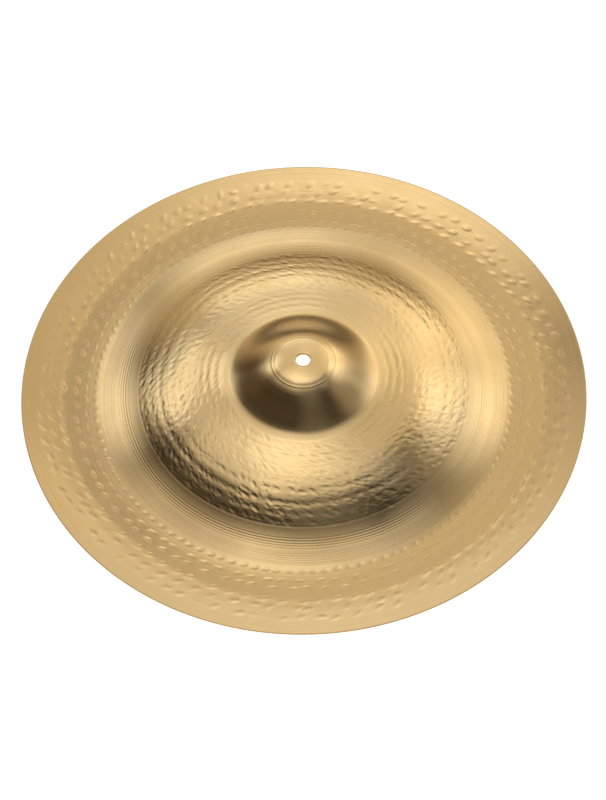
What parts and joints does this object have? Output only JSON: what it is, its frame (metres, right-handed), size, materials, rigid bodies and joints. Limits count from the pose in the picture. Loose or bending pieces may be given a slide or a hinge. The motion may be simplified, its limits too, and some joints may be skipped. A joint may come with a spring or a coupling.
{
  "type": "china cymbal",
  "caption": "Round bronze china cymbal with a flat-topped bell, a hammered bow and an upturned flange, with a centre hole for a stand.",
  "frame": {"origin": "under the middle of the centre hole, level with the lowest ring of the underside, which the cymbal lies on", "axes": "+Z along the axis of the disc, out of the top of the bell; X and Y lie across the disc and are alike"},
  "size_m": [0.4826, 0.4826, 0.043],
  "materials": {
    "bronze": "bright cast bell bronze, hammered on the bow and the flange and lathed in fine rings"
  },
  "bodies": {
    "root": {"cymbal": "bronze"}
  },
  "joints": []
}
